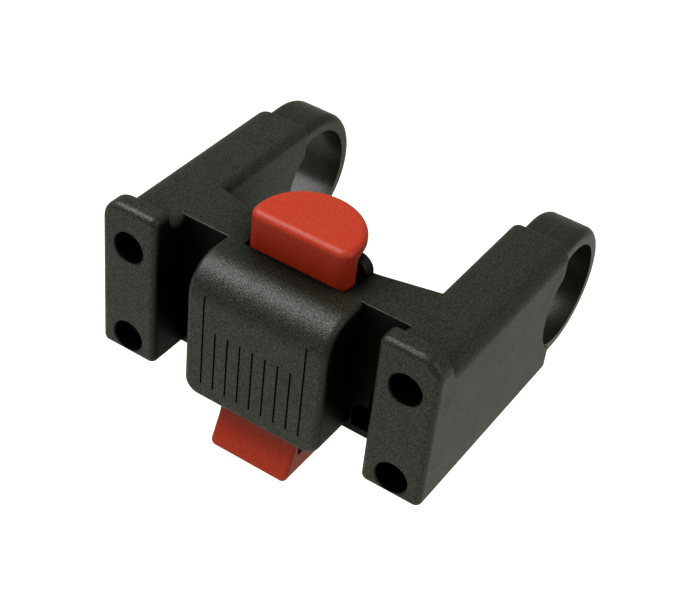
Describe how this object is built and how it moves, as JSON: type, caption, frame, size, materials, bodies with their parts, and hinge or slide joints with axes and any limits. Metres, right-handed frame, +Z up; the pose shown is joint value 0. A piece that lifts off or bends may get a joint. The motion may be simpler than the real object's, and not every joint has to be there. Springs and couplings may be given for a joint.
{
  "type": "bicycle handlebar bag mount",
  "caption": "Plastic handlebar bag mount: forked arms with screw-drawn bar clamps, a grooved front block and a sprung push-button latch.",
  "frame": {"origin": "on the handlebar's axis, midway between the two clamps", "axes": "+X along the handlebar, -Y forwards to the bag, +Z up"},
  "size_m": [0.0872, 0.0839, 0.059],
  "materials": {
    "black_plastic": "black moulded plastic with a fine eroded grain",
    "red_plastic": "red moulded plastic, satin",
    "zinc_steel": "zinc plated steel"
  },
  "bodies": {
    "frame": {"body": "black_plastic", "rear_cover": "black_plastic", "return_spring": "zinc_steel", "cover_screw_1": "zinc_steel", "cover_screw_2": "zinc_steel", "cover_screw_3": "zinc_steel", "cover_screw_4": "zinc_steel"},
    "release": {"release_slide": "red_plastic"},
    "strap_left": {"clamp_strap_left": "black_plastic", "clamp_nut_left_upper": "zinc_steel", "clamp_nut_left_lower": "zinc_steel"},
    "screw_left_upper": {"clamp_screw_left_upper": "zinc_steel"},
    "screw_left_lower": {"clamp_screw_left_lower": "zinc_steel"},
    "strap_right": {"clamp_strap_right": "black_plastic", "clamp_nut_right_upper": "zinc_steel", "clamp_nut_right_lower": "zinc_steel"},
    "screw_right_upper": {"clamp_screw_right_upper": "zinc_steel"},
    "screw_right_lower": {"clamp_screw_right_lower": "zinc_steel"}
  },
  "joints": [
    {"name": "release_press", "type": "slide", "parent": "frame", "child": "release", "axis": [0, 0, -1], "range_m": [0, 0.0032], "stiffness_N_per_m": 900, "springref_m": -0.006, "deforming": ["return_spring"]},
    {"name": "screw_left_upper_turn", "type": "hinge", "parent": "frame", "child": "screw_left_upper", "pos_m": [-0.036, -0.04, 0.0128], "axis": [0, 1, 0], "range_deg": [0, 1965]},
    {"name": "screw_left_lower_turn", "type": "hinge", "parent": "frame", "child": "screw_left_lower", "pos_m": [-0.036, -0.04, -0.0128], "axis": [0, 1, 0], "range_deg": [0, 1965]},
    {"name": "strap_left_draw", "type": "slide", "parent": "frame", "child": "strap_left", "axis": [0, -1, 0], "range_m": [0, 0.0038]},
    {"name": "screw_right_upper_turn", "type": "hinge", "parent": "frame", "child": "screw_right_upper", "pos_m": [0.036, -0.04, 0.0128], "axis": [0, 1, 0], "range_deg": [0, 1965]},
    {"name": "screw_right_lower_turn", "type": "hinge", "parent": "frame", "child": "screw_right_lower", "pos_m": [0.036, -0.04, -0.0128], "axis": [0, 1, 0], "range_deg": [0, 1965]},
    {"name": "strap_right_draw", "type": "slide", "parent": "frame", "child": "strap_right", "axis": [0, -1, 0], "range_m": [0, 0.0038]}
  ],
  "couplings": [
    {"joint": "screw_left_upper_turn", "follows": "strap_left_draw", "rad_per_m": 8976},
    {"joint": "screw_left_lower_turn", "follows": "strap_left_draw", "rad_per_m": 8976},
    {"joint": "screw_right_upper_turn", "follows": "strap_right_draw", "rad_per_m": 8976},
    {"joint": "screw_right_lower_turn", "follows": "strap_right_draw", "rad_per_m": 8976}
  ]
}
